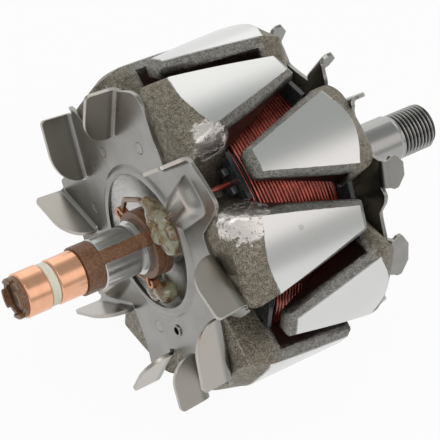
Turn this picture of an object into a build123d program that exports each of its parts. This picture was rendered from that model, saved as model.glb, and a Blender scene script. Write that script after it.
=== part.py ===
from build123d import *
import math
import os

os.makedirs("parts", exist_ok=True)

# Claw-pole rotor of a vehicle generator, in millimetres.
# The shaft runs along X. The origin is on its axis at the shoulder of the drive bearing seat.
# The slip rings are at the -X end and the pulley thread at the +X end. One rear claw points up.

# Poles
pole_diameter = 112.0
rear_flange_thickness = 14.0
drive_flange_thickness = 10.0
pole_gap = 35.0
claw_count = 6
claw_pitch = 360 / claw_count
claw_reach = 16.4
claw_tip_thickness = 5.6
claw_root_inner_radius = 43.6
claw_root_half_width = 15.0
claw_tip_half_width = 4.7
face_root_half_width = 11.2
face_tip_half_width = 3.4
face_root_start = 14.8
face_root_bow = 7.6
face_tip_reach = 13.6
bevel_depth = 6.0
rear_shoulder_reach = 2.2
drive_shoulder_reach = 1.0
side_recess = 0.9
side_recess_drop = 4.6
valley_radius = 33.0
hub_recess_radius = 24.4
hub_recess_depth = 5.5

# Core, bobbin and field winding
core_radius = 26.0
bobbin_clearance = 0.15
bobbin_wall = 1.6
bobbin_flange_radius = 42.8
rear_petal_radius = 45.6
drive_petal_radius = 48.5
petal_clearance = 0.7
winding_claw_clearance = 0.3
winding_crown = 0.5
winding_end_drop = 2.4
winding_end_length = 3.0
lead_radius = 0.9
lead_bend_radius = 2.5
lead_exit_depth = 6.2
lead_angles = (120.0, 300.0)

# Shaft
core_seat_radius = 9.6
rear_stub_radius = 5.3
journal_radius = 8.5
spacer_seat_radius = 8.8
rear_journal_length = 14.0
neck_length = 1.3
neck_radius = 7.6
rear_collar_length = 2.3
rear_collar_radius = 9.3
drive_seat_length = 27.7
thread_radius = 7.95
thread_length = 14.4
edge_chamfer = 0.6
thread_chamfer = 1.0
centre_hole_radius = 2.4
centre_drill_radius = 1.1
centre_hole_depth = 5.0
spacer_radius = 13.5
spacer_length = 12.0

# Slip rings and their moulding
slip_ring_radius = 7.55
slip_ring_wall = 1.6
ring_rounding = 0.4
outer_ring_length = 8.5
inner_ring_length = 9.5
divider_length = 3.3
divider_radius = 7.15
moulding_collar_length = 6.2
moulding_collar_radius = 8.3
cap_length = 2.7
cap_radius = 6.9
cap_recess = 2.2
cap_notch_width = 4.2
cap_notch_depth = 1.3
cap_notch_angles = (5.0, 95.0, 185.0, 275.0)
strip_width = 4.7
strip_depth = 1.7
strip_angle = 123.0
terminal_ring_length = 5.8
terminal_ring_radius = 11.5
terminal_ring_sink = 0.9
tab_width = 2.6
tab_thickness = 0.9
hook_radius = 14.6
hook_return = 1.4
hook_angles = (8.0, 248.0)

# Fans, each blade as (tip share, tip angle, foot share, foot angle, lobe hold, lobe end, valley share)
fan_sheet = 1.5
fan_bend_radius = 1.3
rear_fan_inset = 0.5
rear_fan_radius = pole_diameter / 2 - rear_fan_inset
rear_fan_hole_radius = 23.4
rear_blade_height = 11.5
rear_blades = (
    (0.957, 19.2, 0.705, -2.3, 0.10, 0.34, 0.73),
    (0.962, 62.9, 0.672, 48.8, 0.56, 0.90, 0.71),
    (0.957, 108.6, 0.667, 97.1, 0.47, 0.78, 0.69),
    (1.000, 161.9, 0.742, 146.8, 0.20, 0.86, 0.74),
    (0.959, 201.1, 0.746, 179.8, 0.25, 0.90, 0.74),
    (0.987, 224.3, 0.719, 219.1, 0.22, 0.70, 0.70),
    (1.000, 257.0, 0.750, 244.1, 0.20, 0.50, 0.80),
    (1.000, 296.2, 0.670, 278.8, 0.15, 0.80, 0.70),
    (1.000, 339.2, 0.654, 326.5, 0.28, 0.90, 0.69),
)
drive_fan_inset = 1.5
drive_fan_radius = pole_diameter / 2 - drive_fan_inset
drive_fan_hole_radius = 14.5
drive_blade_height = 7.2
drive_blades = (
    (0.990, 31.0, 0.830, 18.0, 0.25, 0.80, 0.80),
    (0.990, 69.0, 0.850, 56.0, 0.25, 0.80, 0.80),
    (0.990, 97.0, 0.800, 90.0, 0.30, 0.80, 0.78),
    (0.990, 114.5, 0.800, 109.0, 0.30, 0.80, 0.78),
    (0.990, 146.0, 0.850, 136.0, 0.20, 0.75, 0.78),
    (0.990, 184.0, 0.880, 169.5, 0.25, 0.80, 0.80),
    (0.990, 219.0, 0.830, 206.0, 0.25, 0.80, 0.80),
    (0.990, 251.0, 0.830, 238.0, 0.25, 0.80, 0.80),
    (0.990, 286.0, 0.830, 273.0, 0.25, 0.80, 0.80),
    (0.990, 315.0, 0.830, 303.0, 0.25, 0.80, 0.80),
    (0.990, 349.0, 0.830, 336.0, 0.25, 0.80, 0.80),
)
blade_overhang = 0.9
foot_relief_radius = 0.9
hub_bead_radius = 1.3
tunnel_half_width = 6.2
tunnel_height = 3.8
tunnel_reach = 48.5
tunnel_slope_length = 5.0
weld_places = ((33.0, 30.5), (34.9, 76.5), (33.2, 341.7), (32.8, 253.9))
weld_radius = 1.9
weld_depth = 0.35
eyelet_place = (31.1, 231.1)
eyelet_radius = 1.9
eyelet_hole_radius = 1.0
eyelet_height = 0.5

# Places along the shaft
pole_radius = pole_diameter / 2
flange_inner = pole_gap / 2
rear_half_width = flange_inner + rear_flange_thickness
drive_half_width = flange_inner + drive_flange_thickness
pole_middle = -(spacer_length + drive_half_width)
rear_face = pole_middle - rear_half_width
drive_face = pole_middle + drive_half_width
terminal_ring_end = rear_face + terminal_ring_sink
collar_end = terminal_ring_end - terminal_ring_length
collar_start = collar_end - rear_collar_length
journal_end = collar_start - neck_length
journal_start = journal_end - rear_journal_length
inner_ring_end = journal_start - moulding_collar_length
inner_ring_start = inner_ring_end - inner_ring_length
outer_ring_end = inner_ring_start - divider_length
outer_ring_start = outer_ring_end - outer_ring_length
cap_end = outer_ring_start - cap_length


def polar_point(radius, angle):
    """Point (y, z) at a radius and an angle in degrees round the shaft."""
    return (radius * math.cos(math.radians(angle)), radius * math.sin(math.radians(angle)))


def cross_plane(x, angle=0.0):
    """Plane across the shaft at x, its own x direction pointing outwards at the angle."""
    return Plane(origin=(x, 0, 0), x_dir=(0, *polar_point(1, angle)), z_dir=(1, 0, 0))


def radial_plane(x, radius, angle):
    """Plane whose normal points away from the axis and whose y direction is +X."""
    across, up = polar_point(1, angle)
    return Plane(origin=(x, *polar_point(radius, angle)), x_dir=(0, -up, across), z_dir=(0, across, up))


def turned(points):
    """A solid turned about the shaft axis from (x, radius) points."""
    with BuildPart() as solid:
        with BuildSketch(Plane.XZ):
            with BuildLine():
                Polyline(*points, close=True)
            make_face()
        revolve(axis=Axis.X)
    return solid.part


side_slope = (claw_root_half_width - claw_tip_half_width) / (claw_reach + flange_inner)


def claw(half_width, shoulder_reach):
    """One claw with its root, pointing up, with the pole's middle plane at x = 0."""
    outer_end = -half_width - shoulder_reach
    with BuildPart() as finger:
        with BuildSketch(Plane.XY.offset(pole_radius - bevel_depth)):
            with BuildLine():
                Polyline(
                    (outer_end, face_root_half_width + bevel_depth),
                    (face_tip_reach + bevel_depth, face_tip_half_width + bevel_depth),
                    (face_tip_reach + bevel_depth, -face_tip_half_width - bevel_depth),
                    (outer_end, -face_root_half_width - bevel_depth),
                    close=True,
                )
            make_face()
        with BuildSketch(Plane.XY.offset(pole_radius)):
            with BuildLine():
                Polyline(
                    (-face_root_start, face_root_half_width),
                    (face_tip_reach, face_tip_half_width),
                    (face_tip_reach, -face_tip_half_width),
                    (-face_root_start, -face_root_half_width),
                )
                ThreePointArc(
                    (-face_root_start, -face_root_half_width),
                    (-face_root_start - face_root_bow, 0),
                    (-face_root_start, face_root_half_width),
                )
            make_face()
        loft(ruled=True)
        with BuildSketch(Plane.XY) as side_walls:
            with BuildLine():
                Polyline(
                    (outer_end, claw_root_half_width),
                    (-flange_inner, claw_root_half_width),
                    (claw_reach, claw_tip_half_width),
                    (claw_reach, -claw_tip_half_width),
                    (-flange_inner, -claw_root_half_width),
                    (outer_end, -claw_root_half_width),
                    close=True,
                )
            make_face()
            fillet(side_walls.vertices().group_by(Axis.X)[-1], claw_tip_half_width * 0.5)
        extrude(amount=pole_radius + 1, mode=Mode.INTERSECT)
        extrude(side_walls.sketch, amount=pole_radius - bevel_depth)
        with BuildSketch(Plane.XZ):
            with BuildLine():
                Polyline(
                    (-half_width, valley_radius - 4),
                    (-half_width, pole_radius),
                    (claw_reach, pole_radius),
                    (claw_reach, pole_radius - claw_tip_thickness),
                    (-flange_inner, claw_root_inner_radius),
                    (-flange_inner, valley_radius - 4),
                    close=True,
                )
            make_face()
        revolve(axis=Axis.X, mode=Mode.INTERSECT)
        # shallow pocket along each side wall, under the lip
        pocket_start = -flange_inner + 2
        pocket_base = claw_root_inner_radius - 3
        for side in (1, -1):
            with BuildSketch(Plane.XY.offset(pocket_base)):
                with BuildLine():
                    Polyline(
                        (pocket_start, side * (claw_root_half_width - 2 * side_slope + 1)),
                        (pocket_start, side * (claw_root_half_width - 2 * side_slope - side_recess)),
                        (claw_reach + 1, side * (claw_tip_half_width - side_slope - side_recess)),
                        (claw_reach + 1, side * (claw_tip_half_width - side_slope + 1)),
                        close=True,
                    )
                make_face()
            extrude(amount=pole_radius - side_recess_drop - pocket_base, mode=Mode.SUBTRACT)
    return finger.part


def claw_pole(hub, finger):
    """Hub disc with its ring of claws, middle plane at x = 0, claws pointing to +X."""
    with BuildPart() as pole:
        add(hub)
        for k in range(claw_count):
            add(finger.rotate(Axis.X, k * claw_pitch))
    return pole.part


rear_hub = turned(
    [
        (-rear_half_width, hub_recess_radius),
        (-rear_half_width, valley_radius),
        (-flange_inner, valley_radius),
        (-flange_inner, core_seat_radius),
        (-rear_half_width + hub_recess_depth, core_seat_radius),
        (-rear_half_width + hub_recess_depth, hub_recess_radius),
    ]
)
with BuildPart() as rear_pole:
    finger = claw(rear_half_width, rear_shoulder_reach)
    add(claw_pole(rear_hub, finger).moved(Location((pole_middle, 0, 0))))
rear_pole.part.label = "rear_claw_pole"
export_step(rear_pole.part, "parts/rear_claw_pole.step")

drive_hub = turned(
    [
        (-drive_half_width, core_seat_radius),
        (-drive_half_width, valley_radius),
        (-flange_inner, valley_radius),
        (-flange_inner, core_seat_radius),
    ]
)
with BuildPart() as drive_pole:
    finger = claw(drive_half_width, drive_shoulder_reach)
    turned_about = claw_pole(drive_hub, finger).rotate(Axis.Z, 180).rotate(Axis.X, claw_pitch / 2)
    add(turned_about.moved(Location((pole_middle, 0, 0))))
drive_pole.part.label = "drive_claw_pole"
export_step(drive_pole.part, "parts/drive_claw_pole.step")

# Core between the two poles
with BuildPart() as pole_core:
    add(
        turned(
            [
                (pole_middle - flange_inner, core_seat_radius),
                (pole_middle - flange_inner, core_radius),
                (pole_middle + flange_inner, core_radius),
                (pole_middle + flange_inner, core_seat_radius),
            ]
        )
    )
pole_core.part.label = "pole_core"
export_step(pole_core.part, "parts/pole_core.step")

# Bobbin: a sleeve with two flanges, each with a petal in every valley between the claw roots
bobbin_half = flange_inner - bobbin_clearance
bobbin_bore = core_radius + bobbin_clearance
winding_half = bobbin_half - bobbin_wall
winding_bore = bobbin_bore + bobbin_wall
underside_slope = (pole_radius - claw_tip_thickness - claw_root_inner_radius) / (claw_reach + flange_inner)
winding_shoulder_x = winding_half - winding_end_length
winding_shoulder = (
    claw_root_inner_radius + underside_slope * (flange_inner - winding_shoulder_x) - winding_claw_clearance
)
winding_radius = winding_shoulder + winding_crown
lead_exit_radius = winding_radius - lead_exit_depth
with BuildPart() as bobbin:
    with BuildSketch(Plane.XZ):
        with BuildLine():
            Polyline(
                (pole_middle - bobbin_half, bobbin_bore),
                (pole_middle - bobbin_half, bobbin_flange_radius),
                (pole_middle - bobbin_half + bobbin_wall, bobbin_flange_radius),
                (pole_middle - bobbin_half + bobbin_wall, bobbin_bore + bobbin_wall),
                (pole_middle + bobbin_half - bobbin_wall, bobbin_bore + bobbin_wall),
                (pole_middle + bobbin_half - bobbin_wall, bobbin_flange_radius),
                (pole_middle + bobbin_half, bobbin_flange_radius),
                (pole_middle + bobbin_half, bobbin_bore),
                close=True,
            )
        make_face()
    revolve(axis=Axis.X)
    petal_inner = bobbin_flange_radius - 3
    half_pitch = math.radians(claw_pitch / 2)
    flange_starts = (pole_middle - bobbin_half, pole_middle + bobbin_half - bobbin_wall)
    petal_reaches = (rear_petal_radius, drive_petal_radius)
    for start, phase, reach in zip(flange_starts, (0, claw_pitch / 2), petal_reaches):
        petal_widths = [
            (radius * math.sin(half_pitch) - claw_root_half_width) / math.cos(half_pitch) - petal_clearance
            for radius in (petal_inner, reach)
        ]
        for k in range(claw_count):
            with BuildSketch(cross_plane(start, k * claw_pitch + phase)):
                with BuildLine():
                    Polyline(
                        (petal_inner, -petal_widths[0]),
                        (reach, -petal_widths[1]),
                        (reach, petal_widths[1]),
                        (petal_inner, petal_widths[0]),
                        close=True,
                    )
                make_face()
            extrude(amount=bobbin_wall)
    # holes that let the winding's two ends out
    for angle in lead_angles:
        with BuildSketch(cross_plane(pole_middle - bobbin_half, angle)):
            with Locations((lead_exit_radius, 0)):
                Circle(lead_radius)
        extrude(amount=bobbin_wall, mode=Mode.SUBTRACT)
bobbin.part.label = "bobbin"
export_step(bobbin.part, "parts/bobbin.step")

# Field winding between the bobbin's flanges, lower at both ends
with BuildPart() as winding:
    with BuildSketch(Plane.XZ):
        with BuildLine():
            Polyline(
                (pole_middle + winding_shoulder_x, winding_shoulder),
                (pole_middle + winding_half, winding_shoulder - winding_end_drop),
                (pole_middle + winding_half, winding_bore),
                (pole_middle - winding_half, winding_bore),
                (pole_middle - winding_half, winding_shoulder - winding_end_drop),
                (pole_middle - winding_shoulder_x, winding_shoulder),
            )
            ThreePointArc(
                (pole_middle - winding_shoulder_x, winding_shoulder),
                (pole_middle, winding_radius),
                (pole_middle + winding_shoulder_x, winding_shoulder),
            )
        make_face()
    revolve(axis=Axis.X)
winding.part.label = "field_winding"
export_step(winding.part, "parts/field_winding.step")

# Shaft
thread_start = drive_seat_length
thread_end = thread_start + thread_length
shaft_end = cap_end + cap_recess
with BuildPart() as shaft:
    with BuildSketch(Plane.XZ):
        with BuildLine():
            Polyline(
                (shaft_end, 0),
                (shaft_end, rear_stub_radius),
                (journal_start, rear_stub_radius),
                (journal_start, journal_radius - edge_chamfer),
                (journal_start + edge_chamfer, journal_radius),
                (journal_end - edge_chamfer, journal_radius),
                (journal_end, journal_radius - edge_chamfer),
                (journal_end, neck_radius),
                (collar_start, neck_radius),
                (collar_start, rear_collar_radius),
                (rear_face + hub_recess_depth, rear_collar_radius),
                (rear_face + hub_recess_depth, core_seat_radius),
                (drive_face, core_seat_radius),
                (drive_face, spacer_seat_radius),
                (0, spacer_seat_radius),
                (0, journal_radius),
                (thread_start - 2 * edge_chamfer, journal_radius),
                (thread_start, thread_radius),
                (thread_end - thread_chamfer, thread_radius),
                (thread_end, thread_radius - thread_chamfer),
                (thread_end, 0),
                close=True,
            )
        make_face()
    revolve(axis=Axis.X)
    # two keyways that carry the conductor strips past the bearing seat
    for angle in (strip_angle, strip_angle + 180):
        with BuildSketch(cross_plane(journal_start - 1, angle)):
            with Locations((journal_radius - strip_depth + strip_width / 2, 0)):
                Rectangle(strip_width, strip_width)
        extrude(amount=collar_end - journal_start + 1, mode=Mode.SUBTRACT)
    # centre holes in both ends
    with Locations(cross_plane(thread_end), Plane(origin=(shaft_end, 0, 0), z_dir=(-1, 0, 0))):
        CounterSinkHole(centre_drill_radius, centre_hole_radius, depth=centre_hole_depth)
shaft.part.label = "shaft"
export_step(shaft.part, "parts/shaft.step")

# Spacer ring between the drive pole and the drive bearing
with BuildPart() as drive_spacer:
    add(
        turned(
            [
                (drive_face, spacer_seat_radius),
                (drive_face, spacer_radius),
                (-edge_chamfer, spacer_radius),
                (0, spacer_radius - edge_chamfer),
                (0, spacer_seat_radius),
            ]
        )
    )
drive_spacer.part.label = "drive_spacer"
export_step(drive_spacer.part, "parts/drive_spacer.step")

# Slip rings and the insulating ring between them, on the moulded sleeve
sleeve_radius = slip_ring_radius - slip_ring_wall


def ring(start, end, radius, rounding):
    """A band round the sleeve with softened outer edges."""
    return turned(
        [
            (start, sleeve_radius),
            (start, radius - rounding),
            (start + rounding, radius),
            (end - rounding, radius),
            (end, radius - rounding),
            (end, sleeve_radius),
        ]
    )


with BuildPart() as outer_slip_ring:
    add(ring(outer_ring_start, outer_ring_end, slip_ring_radius, ring_rounding))
outer_slip_ring.part.label = "outer_slip_ring"
export_step(outer_slip_ring.part, "parts/outer_slip_ring.step")

with BuildPart() as inner_slip_ring:
    add(ring(inner_ring_start, inner_ring_end, slip_ring_radius, ring_rounding))
inner_slip_ring.part.label = "inner_slip_ring"
export_step(inner_slip_ring.part, "parts/inner_slip_ring.step")

with BuildPart() as divider_ring:
    add(ring(outer_ring_end, inner_ring_start, divider_radius, ring_rounding))
divider_ring.part.label = "insulating_ring"
export_step(divider_ring.part, "parts/insulating_ring.step")


# Moulding: sleeve, collar, castellated cap, two conductor strips and the terminal ring
strip_rise = 1.4
strip_envelope = [
    (journal_start, 0),
    (journal_start, journal_radius),
    (journal_end, journal_radius),
    (journal_end + strip_rise, terminal_ring_radius - 0.8),
    (collar_end + 2, terminal_ring_radius - 0.8),
    (collar_end + 2, 0),
]
with BuildPart() as moulding:
    with BuildSketch(Plane.XZ):
        with BuildLine():
            Polyline(
                (cap_end, rear_stub_radius),
                (cap_end, cap_radius - 0.5),
                (cap_end + 0.5, cap_radius),
                (outer_ring_start, cap_radius),
                (outer_ring_start, sleeve_radius),
                (inner_ring_end, sleeve_radius),
                (inner_ring_end, moulding_collar_radius),
                (journal_start, moulding_collar_radius),
                (journal_start, rear_stub_radius),
                close=True,
            )
        make_face()
    revolve(axis=Axis.X)
    with BuildSketch(Plane.XZ):
        with BuildLine():
            Polyline(
                (collar_end, rear_collar_radius),
                (collar_end, terminal_ring_radius),
                (collar_end + terminal_ring_length * 0.45, terminal_ring_radius),
                (collar_end + terminal_ring_length * 0.5, terminal_ring_radius - 0.6),
                (collar_end + terminal_ring_length * 0.55, terminal_ring_radius),
                (terminal_ring_end, terminal_ring_radius),
                (terminal_ring_end, rear_collar_radius),
                close=True,
            )
        make_face()
    revolve(axis=Axis.X)
    # strips in their keyways, then up over the collar into the ring
    with BuildPart(mode=Mode.PRIVATE) as strips:
        for angle in (strip_angle, strip_angle + 180):
            with BuildSketch(cross_plane(journal_start - 1, angle)):
                with Locations((journal_radius - strip_depth + strip_width / 2, 0)):
                    Rectangle(strip_width, strip_width)
            extrude(amount=collar_end - journal_start + 2)
        add(turned(strip_envelope), mode=Mode.INTERSECT)
    add(strips.part)
    # notches in the cap's rim
    for angle in cap_notch_angles:
        with BuildSketch(radial_plane(cap_end, rear_stub_radius - 1, angle)):
            Rectangle(cap_notch_width, 2 * cap_notch_depth)
        extrude(amount=cap_radius, mode=Mode.SUBTRACT)
    add(shaft.part, mode=Mode.SUBTRACT)
moulding.part.label = "slip_ring_moulding"
export_step(moulding.part, "parts/slip_ring_moulding.step")


def lobe_points(radius, blade, following):
    """Points round the disc's edge from a blade's lobe to the next blade's foot."""
    tip_share, tip_angle, _, _, hold, end, valley = blade
    _, _, foot_share, foot_angle, *_ = following
    gap = (foot_angle - tip_angle) % 360
    crest = max(tip_share, 0.99)
    shares = ((hold, crest), (hold + 0.35 * (end - hold), 0.72 * crest + 0.28 * valley))
    shares += ((hold + 0.7 * (end - hold), 0.22 * crest + 0.78 * valley), (end, valley))
    return [polar_point(radius * share, tip_angle + along * gap) for along, share in shares]


def bent_blade(face_x, side, tip, foot, height, square):
    """Blade with a rolled bend at its foot line, standing up from the disc's edge."""
    length = math.dist(foot, tip)
    along = ((tip[0] - foot[0]) / length, (tip[1] - foot[1]) / length)
    lobe_side = (-along[1], along[0])
    crest = height + fan_sheet
    bend_outer = fan_sheet + fan_bend_radius
    facing = (0, side * along[0], side * along[1])
    section = Plane(origin=(face_x, *foot), x_dir=(0, *lobe_side), z_dir=facing)
    outline = Plane(
        origin=(face_x, *foot), x_dir=(0, *along), z_dir=(0, -side * lobe_side[0], -side * lobe_side[1])
    )
    with BuildPart() as blade:
        with BuildSketch(section):
            with BuildLine():
                JernArc((bend_outer, 0), (-1, 0), bend_outer, -90)
                Polyline((0, bend_outer), (0, crest), (fan_sheet, crest), (fan_sheet, bend_outer))
                JernArc((fan_sheet, bend_outer), (0, -1), fan_bend_radius, 90)
                Line((bend_outer, fan_sheet), (bend_outer, 0))
            make_face()
        extrude(amount=side * length, both=True)
        with BuildSketch(outline):
            with BuildLine():
                if square:
                    Polyline(
                        (length, 0),
                        (length, crest * 0.2),
                        (length + blade_overhang, crest * 0.36),
                        (length + blade_overhang, crest * 0.62),
                        (length * 0.76, crest),
                        (length * 0.24, crest),
                        (-blade_overhang, crest * 0.62),
                        (-blade_overhang, crest * 0.36),
                        (0, crest * 0.2),
                        (0, 0),
                        close=True,
                    )
                else:
                    knee = (length * 0.52, crest * 0.99)
                    foot_edge = (-blade_overhang, crest * 0.18)
                    Polyline((0, 0), (length, 0), (length + blade_overhang, crest), knee)
                    ThreePointArc(knee, (length * 0.13, crest * 0.72), foot_edge)
                    Line(foot_edge, (0, 0))
            make_face()
        extrude(amount=2 * bend_outer, both=True, mode=Mode.INTERSECT)
    return blade.part


def fan(face_x, side, radius, hole, height, blades, square):
    """Sheet-metal fan: a lobed disc with blades bent up along slanted lines."""
    outer_x = face_x + side * fan_sheet
    bend_outer = fan_sheet + fan_bend_radius
    tips = [polar_point(radius * blade[0], blade[1]) for blade in blades]
    feet = [polar_point(radius * blade[2], blade[3]) for blade in blades]
    with BuildPart() as wheel:
        with BuildSketch(Plane.YZ.offset(face_x)):
            with BuildLine():
                for k, blade in enumerate(blades):
                    following = (k + 1) % len(blades)
                    length = math.dist(feet[k], tips[k])
                    inset = (
                        -bend_outer * (tips[k][1] - feet[k][1]) / length,
                        bend_outer * (tips[k][0] - feet[k][0]) / length,
                    )
                    foot_inset = (feet[k][0] + inset[0], feet[k][1] + inset[1])
                    tip_inset = (tips[k][0] + inset[0], tips[k][1] + inset[1])
                    Polyline(feet[k], foot_inset, tip_inset)
                    lobe = lobe_points(radius, blade, blades[following])
                    Spline(tip_inset, *lobe)
                    Line(lobe[-1], feet[following])
            make_face()
            Circle(hole, mode=Mode.SUBTRACT)
        extrude(amount=side * fan_sheet)
        for foot in feet:
            with BuildSketch(Plane.YZ.offset(face_x)):
                with Locations(foot):
                    Circle(foot_relief_radius)
            extrude(amount=side * fan_sheet, mode=Mode.SUBTRACT)
        for tip, foot in zip(tips, feet):
            add(bent_blade(face_x, side, tip, foot, height, square))
        # rolled bead round the centre hole
        with BuildSketch(Plane.XZ):
            with Locations((outer_x, hole + hub_bead_radius)):
                Circle(hub_bead_radius)
        revolve(axis=Axis.X)
    return wheel.part


# Rear fan, with a raised tunnel over each lead that runs in from the winding
rear_fan_outer = rear_face - fan_sheet


def tunnel(start, half_width, depth, slope_start, slope_end):
    """Arched ridge along a radial line, sloping down at its outer end."""
    with BuildPart() as ridge:
        with BuildSketch(radial_plane(rear_fan_outer, start, 90)):
            with BuildLine():
                Polyline(
                    (-half_width, -0.01),
                    (-half_width, fan_sheet * 0.6),
                    (half_width, fan_sheet * 0.6),
                    (half_width, -0.01),
                )
                ThreePointArc((half_width, -0.01), (0, -depth), (-half_width, -0.01))
            make_face()
        extrude(amount=slope_end)
        with BuildSketch(Plane.XZ):
            with BuildLine():
                Polyline(
                    (rear_fan_outer + fan_sheet, 0),
                    (rear_fan_outer - depth, 0),
                    (rear_fan_outer - depth, slope_start),
                    (rear_fan_outer, slope_end),
                    (rear_fan_outer + fan_sheet, slope_end),
                    close=True,
                )
            make_face()
        revolve(axis=Axis.X, mode=Mode.INTERSECT)
    return ridge.part


with BuildPart() as rear_fan:
    add(fan(rear_face, -1, rear_fan_radius, rear_fan_hole_radius, rear_blade_height, rear_blades, False))
    slope_start = tunnel_reach - tunnel_slope_length
    ridge = tunnel(rear_fan_hole_radius, tunnel_half_width, tunnel_height, slope_start, tunnel_reach)
    hollow = tunnel(
        0,
        tunnel_half_width - fan_sheet,
        tunnel_height - fan_sheet,
        slope_start - fan_sheet,
        tunnel_reach - fan_sheet,
    )
    for angle in lead_angles:
        add(ridge.rotate(Axis.X, angle - 90))
        add(hollow.rotate(Axis.X, angle - 90), mode=Mode.SUBTRACT)
        with BuildSketch(cross_plane(rear_fan_outer, angle)):
            with Locations((lead_exit_radius / 2, 0)):
                Rectangle(lead_exit_radius + 4 * lead_radius, 4 * lead_radius)
        extrude(amount=fan_sheet, mode=Mode.SUBTRACT)
    # dents of the spot welds, and an eyelet
    for place in weld_places:
        with BuildSketch(Plane.YZ.offset(rear_fan_outer)):
            with Locations(polar_point(*place)):
                Circle(weld_radius)
        extrude(amount=weld_depth, taper=30, mode=Mode.SUBTRACT)
    with BuildSketch(Plane.YZ.offset(rear_fan_outer)):
        with Locations(polar_point(*eyelet_place)):
            Circle(eyelet_radius)
    extrude(amount=-eyelet_height, taper=20)
    with BuildSketch(Plane.YZ.offset(rear_fan_outer - eyelet_height)):
        with Locations(polar_point(*eyelet_place)):
            Circle(eyelet_hole_radius)
    extrude(amount=eyelet_height + fan_sheet, mode=Mode.SUBTRACT)
rear_fan.part.label = "rear_fan"
export_step(rear_fan.part, "parts/rear_fan.step")

with BuildPart() as drive_fan:
    add(fan(drive_face, 1, drive_fan_radius, drive_fan_hole_radius, drive_blade_height, drive_blades, True))
drive_fan.part.label = "drive_fan"
export_step(drive_fan.part, "parts/drive_fan.step")

# Winding leads: out through the bobbin, through the valley, under the fan and round to a terminal
lead_plane_x = rear_fan_outer - lead_radius
winding_face = pole_middle - winding_half


def lead(route):
    """Enamelled wire along straight runs with rounded bends."""
    points = [(x, *polar_point(radius, angle)) for x, radius, angle in route]
    with BuildPart() as wire:
        with BuildLine():
            path = FilletPolyline(*points, radius=lead_bend_radius)
        with BuildSketch(Plane(origin=path @ 0, z_dir=path % 0)):
            Circle(lead_radius)
        sweep()
    return wire.part


inner_bend_radius = rear_fan_hole_radius - 2.4
round_radius = hook_radius + 1.0


def lead_route(exit_angle, turns, hook_angle):
    """(x, radius, angle) points from the winding's end face to just past the hook."""
    return (
        (winding_face, lead_exit_radius, exit_angle),
        (lead_plane_x, lead_exit_radius, exit_angle),
        (lead_plane_x, inner_bend_radius, exit_angle - 1),
        *[(lead_plane_x, round_radius, angle) for angle in turns],
        (lead_plane_x, hook_radius, hook_angle - 6),
    )


lead_routes = (
    lead_route(lead_angles[0], (70.0, 34.0), hook_angles[0]),
    lead_route(lead_angles[1], (268.0,), hook_angles[1]),
)
leads = [lead(route) for route in lead_routes]
for name, wire in zip(("winding_lead_a", "winding_lead_b"), leads):
    wire.label = name
    export_step(wire, f"parts/{name}.step")

# Copper terminals: a tab up from the moulded ring, hooked over the lead
hook_inside = lead_radius + 0.05
hook_arm = hook_inside + tab_thickness / 2


def terminal(angle):
    """Hook in the plane of the lead, open towards the lead's far side."""
    base = radial_plane(lead_plane_x, 0, angle)
    face = Plane(origin=(lead_plane_x - tab_width / 2, 0, 0), x_dir=base.z_dir, z_dir=(1, 0, 0))
    with BuildPart() as hook:
        with BuildSketch(face):
            with BuildLine() as strip:
                Line((terminal_ring_radius, hook_arm), (hook_radius, hook_arm))
                ThreePointArc((hook_radius, hook_arm), (hook_radius + hook_arm, 0), (hook_radius, -hook_arm))
                Line((hook_radius, -hook_arm), (hook_radius - hook_return, -hook_arm))
            trace(line_width=tab_thickness)
        extrude(amount=tab_width)
        for wire in leads:
            add(wire, mode=Mode.SUBTRACT)
        add(moulding.part, mode=Mode.SUBTRACT)
    return hook.part


for name, angle in zip(("terminal_a", "terminal_b"), hook_angles):
    hook = terminal(angle)
    hook.label = name
    export_step(hook, f"parts/{name}.step")

# Beads of set varnish that hold each lead in the hub's recess
varnish_places = ((17.8, 128.0, 6.6), (18.2, 278.0, 5.2))
varnish_crest = 2.5


def varnish_bead(radius, angle, size):
    """Lump that fills the recess between the terminal ring and the hub's wall."""
    place = polar_point(radius, angle)
    with BuildPart() as lump:
        with Locations((rear_face + 0.5, *place)):
            Sphere(size)
        hub_space = turned(
            [
                (rear_face + hub_recess_depth, terminal_ring_radius),
                (rear_face + hub_recess_depth, hub_recess_radius),
                (rear_face, hub_recess_radius),
                (rear_face, rear_fan_hole_radius),
                (rear_fan_outer - varnish_crest, rear_fan_hole_radius),
                (rear_fan_outer - varnish_crest, terminal_ring_radius),
            ]
        )
        add(hub_space, mode=Mode.INTERSECT)
        for wire in leads:
            add(wire, mode=Mode.SUBTRACT)
        for angle in hook_angles:
            add(terminal(angle), mode=Mode.SUBTRACT)
        add(rear_fan.part, mode=Mode.SUBTRACT)
        add(moulding.part, mode=Mode.SUBTRACT)
    return lump.part


for name, place in zip(("varnish_bead_a", "varnish_bead_b"), varnish_places):
    lump = varnish_bead(*place)
    lump.label = name
    export_step(lump, f"parts/{name}.step")
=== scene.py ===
import math
import random

import bmesh
import bpy
from mathutils import Matrix, Vector, noise


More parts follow.
